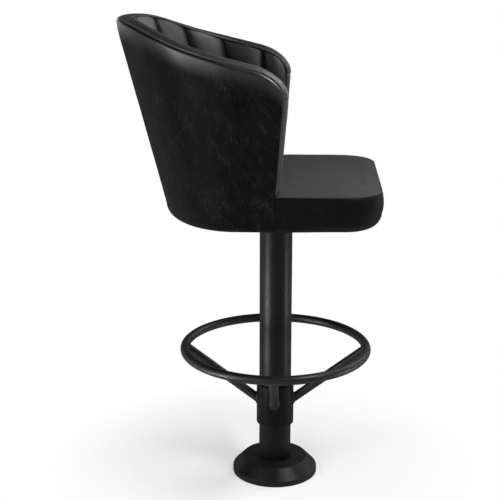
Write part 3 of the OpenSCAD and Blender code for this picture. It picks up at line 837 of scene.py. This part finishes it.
# The valleys spread forward as they go down: (place at the rim, share that it gains at the foot)
valleys = [ROUND_SHARE * a / 90 for a in VALLEY_ANGLES] + [VALLEY_PLACE]
foot_spread = list(zip([0.0] + valleys[1:] + [1.0], (0.14, 0.2, 0.16, 0.08, 0.02, 0.0)))


def foot_gain(place):
    for (a, low), (b, high) in zip(foot_spread, foot_spread[1:]):
        if place <= b:
            return low + (high - low) * (place - a) / (b - a)
    return 0.0


def pad_point(place, top_z, side, d, f):
    """A point of the pad at a place from 0 at the back to 1 at the wing, at a share f of its height."""
    u = place * (1 + foot_gain(place) * (1 - f))
    z = PAD_Z + (top_z - GAP - PAD_Z) * f
    angle = min(90.0, 90.0 * u / ROUND_SHARE)
    return wall(side * angle, max(0.0, (u - ROUND_SHARE) / (1 - ROUND_SHARE)), d, z)


def rim_height(place):
    """Height of the rim's seam at a place."""
    if place <= ROUND_SHARE:
        return arc_z(90.0 * place / ROUND_SHARE)
    share = (place - ROUND_SHARE) / (1 - ROUND_SHARE)
    y = bisect(lambda y: side_station(y, side_z(y))[1] > share, wing_y(FRONT_Z), BACK_START, 40)
    return side_z(y)


def channel_columns():
    """(place, side, share across its channel) from the left wing to the right one.

    Each channel lies between two valleys. The last one on each side ends under the facing.
    """
    spans = [(0.0, valleys[0], 0.5, 1.0)]
    for a, b in zip(valleys, valleys[1:]):
        spans.append((a, b, 0.0, 1.0))
    spans.append((valleys[-1], 1.0, 0.0, LAST_CROSS))
    half = []
    for a, b, start, end in spans:
        steps = PER_CHANNEL // 2 if start else PER_CHANNEL
        for i in range(steps):
            half.append((a + (b - a) * i / steps, start + (end - start) * i / steps))
    half.append((1.0, LAST_CROSS))
    left = [(p, -1, c) for p, c in half[:0:-1]]
    right = [(p, 1, c) for p, c in half]
    return left + right


def pad_row_swell(f):
    """How full a channel is at a share of the height: it rounds off at its head and foot."""
    foot = 0.7 + 0.3 * min(1.0, f / 0.08) ** 0.5
    head = sqrt(max(0.0, 1 - max(0.0, (f - 0.86) / 0.17) ** 2))
    return foot * head


def pad_row(k):
    """Share of the height at a row, with the rows closer together at the head and foot."""
    x = k / PAD_ROWS
    return x - 0.09 * sin(tau * x)


pad_columns = channel_columns()
pad_back = []
pad_front = []
for place, side, cross in pad_columns:
    top_z = rim_height(place)
    bulge = max(0.0, sin(pi * cross)) ** 0.6
    pad_back.append([pad_point(place, top_z, side, PAD_D, pad_row(k)) for k in range(PAD_ROWS + 1)])
    column = []
    for k in range(PAD_ROWS + 1):
        f = pad_row(k)
        valley = PAD_VALLEY - 3.0 * exp(-(min(cross, 1 - cross) / 0.05) ** 2)
        d = PAD_D + valley + START_SWELL * CHANNEL_SWELL * bulge * pad_row_swell(f)
        column.append(pad_point(place, top_z, side, d, f))
    pad_front.append(column)
fluted = make("fluted_pad", *sheet_mesh(pad_back, pad_front), "seat", 75)
rows = PAD_ROWS + 1
held = [True] * (len(pad_columns) * rows)
for place, side, cross in pad_columns:
    for k in range(rows):
        held.append(cross < 0.02 or cross > 0.98 or place == 1.0 or k == 0 or k == rows - 1)
puff(fluted, held, pressure=4.0, cap=6.0)
dress(fluted, inner_leather, ["inner_back_pad"])


# Seat cushion and the leather border round its front

TUB_PARTS = 64
CORNER_PARTS = 14
FRONT_PARTS = 14
SIDE_PARTS = 8
LINK_PARTS = 4


def seat_loop(d, tub_d, z):
    """One level of the seat, anticlockwise: its front drawn in by d, and its part inside the tub."""
    r = SEAT_CORNER_R - d
    x = HALF_W - SEAT_CORNER_R
    y = SEAT_CORNER_R - SEAT_FRONT
    start_y = WING_FOOT - 3 * GAP
    points = [Vector((d - HALF_W, start_y + (y - start_y) * i / SIDE_PARTS, z)) for i in range(SIDE_PARTS)]
    for i in range(CORNER_PARTS + 1):
        a = radians(180 + 90 * i / CORNER_PARTS)
        points.append(Vector((r * cos(a) - x, y + r * sin(a), z)))
    for i in range(1, FRONT_PARTS):
        points.append(Vector((-x + 2 * x * i / FRONT_PARTS, y - r, z)))
    for i in range(CORNER_PARTS + 1):
        a = radians(270 + 90 * i / CORNER_PARTS)
        points.append(Vector((r * cos(a) + x, y + r * sin(a), z)))
    for i in range(1, SIDE_PARTS + 1):
        points.append(Vector((HALF_W - d, y + (start_y - y) * i / SIDE_PARTS, z)))
    for i in range(-LINK_PARTS, TUB_PARTS + LINK_PARTS + 1):
        p = wall(90.0 - 180.0 * min(max(i, 0), TUB_PARTS) / TUB_PARTS, 0.0, tub_d, z)
        ahead = max(-i, i - TUB_PARTS)
        if ahead > 0:
            p.y = WING_FOOT - GAP + (BACK_START - WING_FOOT + GAP) * (LINK_PARTS - ahead) / LINK_PARTS
        points.append(p)
    return points


FOOT_Z = BOARD_TOP + GAP
# The cushion's side and seam: (how far in, height)
CUSHION_SIDE = ((14.0, FOOT_Z), (6.0, FOOT_Z + 12), (4.2, SEAM_Z - 20), (4.0, SEAM_Z - 5),
                (3.6, SEAM_Z - 1.2), (1.4, SEAM_Z - 0.4))
# How far in the rings on its rounded edge lie
CUSHION_ROUND = (0.5, 0.8, 1.6, 2.8, 4.4, 6.4, 9.0, 12.0, 15.5, 20.0, 25.0, 31.0, 38.0, 45.0, 50.0)
CROWN_RINGS = 23
CROWN_SHARE = 0.97
CROWN_Y = 10.0


def cushion_ring(d, z):
    return seat_loop(d, max(d, PAD_D + GAP), z)


cushion_rings = [cushion_ring(d, z) for d, z in CUSHION_SIDE]
pinned_rings = len(cushion_rings) + 1
cushion_rings += [cushion_ring(d, cushion_top(d)) for d in CUSHION_ROUND]
edge_ring = cushion_rings[-1]
for i in range(1, CROWN_RINGS):
    f = 1 - i / CROWN_RINGS * CROWN_SHARE
    rise = CUSHION_CROWN * (1 - f * f)
    cushion_rings.append([Vector((p.x * f, CROWN_Y + (p.y - CROWN_Y) * f, p.z + rise)) for p in edge_ring])
cushion = make("seat_cushion_padded", *loft_mesh(cushion_rings), "seat", 60)
ring_size = len(cushion_rings[0])
held = [i < pinned_rings * ring_size for i in range(len(cushion.data.vertices))]
# The last two points close the cushion's foot and its top. The foot stays where it is.
held[-2] = True
puff(cushion, held, pressure=2.0, cap=3.0)
dress(cushion, seat_leather, ["seat_cushion"])


BORDER_SIDE_PARTS = 14
BORDER_CORNER_PARTS = 22
BORDER_FRONT_PARTS = 12
BORDER_ROWS = 22
BORDER_TURN = 1.2
BORDER_TUCK = 1.4


def border_stations():
    """(point on the outside, outward direction, share of the seat's own shape) round the front."""
    y = SEAT_CORNER_R - SEAT_FRONT
    x = HALF_W - SEAT_CORNER_R
    start_y = WING_FOOT - GAP
    stations = []
    for i in range(BORDER_SIDE_PARTS):
        f = i / BORDER_SIDE_PARTS
        share = f * f * (3 - 2 * f)
        stations.append((Vector((-HALF_W, start_y + (y - start_y) * f, 0)), Vector((-1, 0, 0)), share))
    for i in range(BORDER_CORNER_PARTS + 1):
        a = radians(180 + 90 * i / BORDER_CORNER_PARTS)
        out = Vector((cos(a), sin(a), 0))
        stations.append((Vector((-x, y, 0)) + SEAT_CORNER_R * out, out, 1.0))
    for i in range(1, BORDER_FRONT_PARTS):
        p = Vector((-x + x * i / BORDER_FRONT_PARTS, -SEAT_FRONT, 0))
        stations.append((p, Vector((0, -1, 0)), 1.0))
    right = [(Vector((-p.x, p.y, 0)), Vector((-o.x, o.y, 0)), f) for p, o, f in stations]
    middle = [(Vector((0, -SEAT_FRONT, 0)), Vector((0, -1, 0)), 1.0)]
    return stations + middle + right[::-1]


def border_column(station, t):
    """Rows of the border from under the seat up to the cushion's seam, t inside its face."""
    point, out, share = station
    r = BASE_EDGE_R + (FRONT_EDGE_R - BASE_EDGE_R) * share
    swell = BORDER_SWELL * share
    column = []
    for d, h in edge_column(t, r, 10):
        column.append(point - d * out + Vector((0, 0, SEAT_BASE + h)))
    low = SEAT_BASE + r
    high = SEAM_Z - 2 * GAP
    beside = max(0.0, (WING_FOOT - point.y)) if abs(out.x) == 1 else 999.0
    turn = BORDER_TURN * roll(beside, 6.0)
    for i in range(1, BORDER_ROWS + 1):
        f = i / BORDER_ROWS
        z = low + (high - low) * f
        puffed = swell * sin(pi * min(1.0, f * 1.05) ** 0.85) ** 0.8 if f < 0.95 else 0.0
        tuck = BORDER_TUCK * roll(high - z, 4.0)
        p = point - (t - puffed + tuck + turn) * out
        p.z = z
        ripple = 0.25 * wobble(p, 40.0, 8) + 0.1 * wobble(p, 12.0, 9)
        column.append(p + ripple * min(1.0, f * 3) * (1 - f ** 6) * out)
    return column


border = make("seat_border_padded", *hide_mesh(border_column, border_stations()), "seat", 50)
dress(border, border_leather, ["seat_border"])


# Stitches: short rounded bars of thread, half sunk in the leather

STITCH_SIDES = 5
# (place along the stitch, share of its thickness)
STITCH_PROFILE = ((-1.0, 0.35), (-0.6, 0.9), (0.0, 1.0), (0.6, 0.9), (1.0, 0.35))
FINE_STEPS = 90


def along_path(points, step):
    """Places at equal steps along a path of (point, outward direction): (point, along, outward)."""
    out = []
    need = step / 2
    for a, b in zip(points, points[1:]):
        span = (b[0] - a[0]).length
        while need <= span:
            f = need / span
            out.append((a[0].lerp(b[0], f), (b[0] - a[0]).normalized(), a[1].lerp(b[1], f).normalized()))
            need += step
        need -= span
    return out


def stitch_row(verts, faces, path, step=3.7, length=3.5, radius=0.85, slant=0.0):
    """Adds a row of stitches along a path of (point, outward direction)."""
    sides = STITCH_SIDES
    for point, along, out in along_path(path, step):
        across = out.cross(along).normalized()
        line = (along + slant * across).normalized()
        across = out.cross(line).normalized()
        start = len(verts)
        for f, width in STITCH_PROFILE:
            sunk = 0.9 * abs(f) ** 3
            centre = point + line * (f * length / 2) + out * (0.15 - sunk * radius)
            verts += circle(centre, radius * width, across, out, sides)
        last = start + (len(STITCH_PROFILE) - 1) * sides
        for low in range(start, last, sides):
            join_loops(faces, low, low + sides, sides)
        faces.append(tuple(start + k for k in range(sides)))
        faces.append(tuple(last + k for k in range(sides)))


def section_place(section, target):
    """The point of a section nearest to a distance in, and the section's run and rise there."""
    point = min(section[2:-2], key=lambda q: abs(q[0] - target))
    k = section.index(point)
    before, after = section[k - 1], section[k + 1]
    return *point, after[0] - before[0], after[1] - before[1]


def row_place(start, row):
    """How far in one of the four rows of stitches lies, where the outer cover is drawn in by start."""
    return (start + 0.8, start + 3.6, BAND_W - 1.2, BAND_W - 4.2)[row]


def band_path(row):
    path = []
    for i, s in enumerate(band_stations):
        section = band_section(draw_in(s), band_rise(s), FINE_STEPS)
        x, h, dx, dh = section_place(section, row_place(draw_in(s), row))
        edge, inward, out = band_axes[i]
        path.append((band_point(i, x, h), (out * dx - inward * dh).normalized()))
    return path


def facing_path(side, row):
    out = Vector((0.0, -1.0, -WING_SLOPE)).normalized()
    path = []
    for k in range(2, FACING_ROWS):
        f = k / FACING_ROWS
        z = PAD_Z + (FRONT_Z - GAP - PAD_Z) * f
        section = band_section(FACING_DRAW, FACING_SWELL * facing_share(f), FINE_STEPS)
        x, h, dx, dh = section_place(section, row_place(FACING_DRAW, row))
        normal = (out * dx + Vector((-1, 0, 0)) * dh).normalized()
        path.append((facing_point(side, x, h, z), Vector((-side * normal.x, normal.y, normal.z))))
    return path


def seat_path():
    path = []
    for p, q in zip(cushion_ring(4.2, cushion_top(4.2)), cushion_ring(5.2, cushion_top(5.2))):
        if p.y < WING_FOOT - 2:
            inward = (q - p).normalized()
            out = Vector((0, 0, 1)) - inward * inward.z
            path.append((p, out.normalized()))
    return path


def sew(name, slot, paths, **look):
    """Makes one piece of the rows of stitches along some paths."""
    verts, faces = [], []
    for path in paths:
        stitch_row(verts, faces, path, **look)
    dress(make(name, verts, faces, "seat"), sewing)


sew("band_stitches", "inner_leather", [band_path(row) for row in range(4)], slant=0.6)
sew("facing_stitches", "inner_leather",
    [facing_path(side, row) for side in (-1, 1) for row in range(4)], slant=0.6)
sew("seat_stitches", "seat_leather", [seat_path()], step=5.0, length=3.6, radius=0.6, slant=0.25)


# Dust cover: black cambric stretched under the seat board, with a hole for the seat plate

CLOTH_T = 0.7
CLOTH_RINGS = 14
CLOTH_MARGIN = 40.0
CLOTH_TUB_MARGIN = 30.0
HOLE_GAP = 3
SAG = 1.4
PUCKERS = 36


def dust_cloth():
    """Closed thin sheet between a square hole and the seat's outline, and the sheet's flat area."""
    hole = (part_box("seat_plate")[1][0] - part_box("seat_plate")[0][0]) / MM / 2 + HOLE_GAP
    edge = seat_loop(CLOTH_MARGIN, CLOTH_TUB_MARGIN, 0.0)
    n = len(edge)
    loops = []
    for side in (0, 1):
        for k in range(CLOTH_RINGS + 1):
            f = k / CLOTH_RINGS if side else 1 - k / CLOTH_RINGS
            loop = []
            for p in edge:
                start = p * (hole / max(abs(p.x), abs(p.y)))
                q = start.lerp(p, f)
                sag = SAG * sin(pi * f) * (1 + 0.5 * wobble(q, 60.0, 11))
                pucker = 0.25 * f ** 4 * sin(atan2(p.y, p.x) * PUCKERS)
                q.z = SEAT_BASE - GAP - CLOTH_T * (1 - side) - max(0.0, sag + pucker * (1 - f))
                loop.append(q)
            loops.append(loop)
    verts = [p for loop in loops for p in loop]
    faces = []
    for i in range(len(loops)):
        join_loops(faces, i * n, (i + 1) % len(loops) * n, n)
    area = sum(p.x * q.y - q.x * p.y for p, q in zip(edge, edge[1:] + edge[:1])) / 2 - 4 * hole ** 2
    width = max(p.x for p in edge) - min(p.x for p in edge)
    length = max(p.y for p in edge) - min(p.y for p in edge)
    return verts, faces, area, width, length


verts, faces, area, width, length = dust_cloth()
cloth = make("dust_cloth", verts, faces, "seat", 50)
dress(cloth, lining, ["dust_cover"])


# Weld beads where the spokes of the foot rest meet its ring and its collar

RING_R = 216.0
RING_BAR_R = 10.65
RING_Z = 318.0
COLLAR_R = 44.45
SPOKE_FOOT_Z = 188.0
WELD_R = 9.8
WELD_POINTS = 60
WELD_SIDES = 8


def bead(verts, faces, path, size):
    """Adds a rippled bead of weld along a closed path."""
    n = len(path)
    sides = WELD_SIDES
    start = len(verts)
    middle = sum(path, Vector()) / n
    for i, p in enumerate(path):
        along = (path[(i + 1) % n] - path[i - 1]).normalized()
        out = (p - middle).normalized()
        across = along.cross(out).normalized()
        out = across.cross(along)
        grow = size * (1 + 0.08 * sin(i * tau / 5))
        verts += circle(p, grow, across, out, sides)
    for i in range(n):
        join_loops(faces, start + i * sides, start + (i + 1) % n * sides, sides)


def clear_of_ring(p):
    return hypot(hypot(p.x, p.y) - RING_R, p.z - RING_Z) > RING_BAR_R


def in_collar(p):
    return hypot(p.x, p.y) < COLLAR_R


def weld_path(angle, at_ring):
    """Closed path round a spoke, on the surface of the ring's bar or of the collar."""
    turn = radians(angle)
    outward = Vector((cos(turn), sin(turn), 0.0))
    foot = COLLAR_R * outward + Vector((0.0, 0.0, SPOKE_FOOT_Z))
    head = RING_R * outward + Vector((0.0, 0.0, RING_Z))
    axis = (head - foot).normalized()
    side = Vector((-outward.y, outward.x, 0.0))
    rise = axis.cross(side)
    path = []
    for edge in circle(Vector(), WELD_R, side, rise, WELD_POINTS):
        if at_ring:
            t = bisect(lambda t: clear_of_ring(head - t * axis + edge), 40.0, 0.0, 30)
            path.append(head - t * axis + edge)
        else:
            t = bisect(lambda t: in_collar(foot + t * axis + edge), -20.0, 60.0, 30)
            path.append(foot + t * axis + edge)
    return path


verts, faces = [], []
for angle in (0, 90, 180, 270):
    bead(verts, faces, weld_path(angle, True), 2.4)
    bead(verts, faces, weld_path(angle, False), 2.8)
welds = make("foot_rest_welds", verts, faces, "foot_rest")
dress(welds, ring_coat)


# Camera, at the photograph's place

camera_data = bpy.data.cameras.new("camera")
camera_data.lens = 85.0
camera_data.sensor_width = 36.0
camera = bpy.data.objects.new("camera", camera_data)
scene.collection.objects.link(camera)
camera.location = (-2.6515, -0.0532, 1.303)
turn = radians(2.46)
pitch = radians(-15.70)
aim = Vector((cos(turn) * cos(pitch), sin(turn) * cos(pitch), sin(pitch)))
camera.rotation_euler = aim.to_track_quat("-Z", "Y").to_euler()
scene.camera = camera


# Floor, world and lamps, in metres

FLOOR_REACH = 60
FLOOR_Z = -0.0005


def where_seen(tree, value):
    """The value for camera, glossy and transmission rays, and 0 for rays that light the object."""
    rays = tree.nodes.new("ShaderNodeLightPath").outputs
    seen = math_node(tree, "MAXIMUM", rays["Is Camera Ray"], rays["Is Glossy Ray"])
    seen = math_node(tree, "MAXIMUM", seen, rays["Is Transmission Ray"])
    return math_node(tree, "MULTIPLY", seen, value)


def pale_floor():
    """White floor that takes the object's shadow near it, and is plain white farther off."""
    material = bpy.data.materials.new("pale_floor")
    material.use_nodes = True
    tree = material.node_tree
    tree.nodes.clear()
    out = tree.nodes.new("ShaderNodeOutputMaterial")
    near = add_node(tree, "ShaderNodeBsdfDiffuse", {"Color": (0.86, 0.86, 0.86, 1)})
    far = add_node(tree, "ShaderNodeEmission", {"Color": (1, 1, 1, 1), "Strength": 1.0})
    place = tree.nodes.new("ShaderNodeTexCoord")
    distance = tree.nodes.new("ShaderNodeVectorMath")
    distance.operation = "LENGTH"
    tree.links.new(place.outputs["Object"], distance.inputs[0])
    away = map_range(tree, distance.outputs["Value"], 0.10, 0.62, 0.45, 1.0, "SMOOTHSTEP")
    mix = tree.nodes.new("ShaderNodeMixShader")
    tree.links.new(where_seen(tree, away), mix.inputs["Fac"])
    tree.links.new(near.outputs[0], mix.inputs[1])
    tree.links.new(far.outputs[0], mix.inputs[2])
    tree.links.new(mix.outputs[0], out.inputs["Surface"])
    return material


def studio_world():
    """Dim light for the object, and behind it white from the horizon up that fades with height."""
    world = bpy.data.worlds.new("studio")
    world.use_nodes = True
    tree = world.node_tree
    background = tree.nodes["Background"]
    background.inputs["Strength"].default_value = 1.0
    place = tree.nodes.new("ShaderNodeTexCoord")
    parts = tree.nodes.new("ShaderNodeSeparateXYZ")
    tree.links.new(place.outputs["Generated"], parts.inputs[0])
    height = map_range(tree, parts.outputs["Z"], 0.20, 0.34, 1.0, 0.0, "SMOOTHSTEP")
    colour = mix_colours(tree, where_seen(tree, height), (0.02, 0.02, 0.02), (1.0, 1.0, 1.0))
    tree.links.new(colour, background.inputs["Color"])
    return world


floor_mesh = bpy.data.meshes.new("floor")
corners = [(x * FLOOR_REACH, y * FLOOR_REACH, FLOOR_Z) for x, y in ((-1, -1), (1, -1), (1, 1), (-1, 1))]
floor_mesh.from_pydata(corners, [], [(0, 1, 2, 3)])
floor_mesh.materials.append(pale_floor())
floor = bpy.data.objects.new("floor", floor_mesh)
scene.collection.objects.link(floor)


def lamp(name, size, size_y, watts, place, target, beam=180.0):
    """A rectangular lamp that shines from a place to a target, in a beam of that many degrees."""
    data = bpy.data.lights.new(name, "AREA")
    data.shape = "RECTANGLE"
    data.size = size
    data.size_y = size_y
    data.energy = watts
    data.spread = radians(beam)
    light = bpy.data.objects.new(name, data)
    scene.collection.objects.link(light)
    light.location = place
    light.rotation_euler = (Vector(target) - Vector(place)).to_track_quat("-Z", "Y").to_euler()
    light.visible_camera = False


lamp("left_low", 0.5, 1.4, 15.0, (-1.4, 1.75, 1.1), (0.0, 0.0, 0.8))
lamp("left_box", 1.5, 1.2, 17.0, (-1.75, 1.3, 1.1), (0.0, 0.0, 0.9))
lamp("left_high", 1.8, 0.5, 6.0, (-1.55, 1.25, 2.0), (0.0, 0.0, 1.0))
lamp("right_strip", 0.45, 1.6, 5.0, (-1.15, -1.6, 1.6), (0.0, 0.0, 0.9))
lamp("right_high", 0.8, 0.8, 50.0, (-0.9, -1.3, 2.5), (0.0, 0.0, 0.9))
lamp("front_box", 0.7, 1.4, 6.0, (0.9, -2.2, 1.6), (0.0, 0.0, 0.95))
lamp("floor_left", 0.4, 0.24, 0.9, (-0.45, 0.78, 0.16), (0.0, 0.0, 0.38), 45.0)
lamp("floor_right", 0.2, 0.24, 0.25, (-0.1, -0.9, 0.16), (0.0, 0.0, 0.38), 45.0)
lamp("corner_spot", 0.3, 0.3, 0.8, (0.0, -0.85, 2.1), (-0.215, -0.02, 0.9), 30.0)
lamp("seat_spot", 0.4, 0.4, 0.16, (0.96, -0.79, 1.57), (-0.15, -0.22, 0.73), 30.0)
lamp("rear_side", 0.6, 1.2, 26.0, (1.7, -2.1, 2.0), (0.0, 0.0, 0.95))
lamp("rear_box", 0.9, 1.0, 6.0, (2.3, -1.5, 1.7), (0.0, 0.0, 0.85))
scene.world = studio_world()
scene.view_settings.view_transform = "Standard"
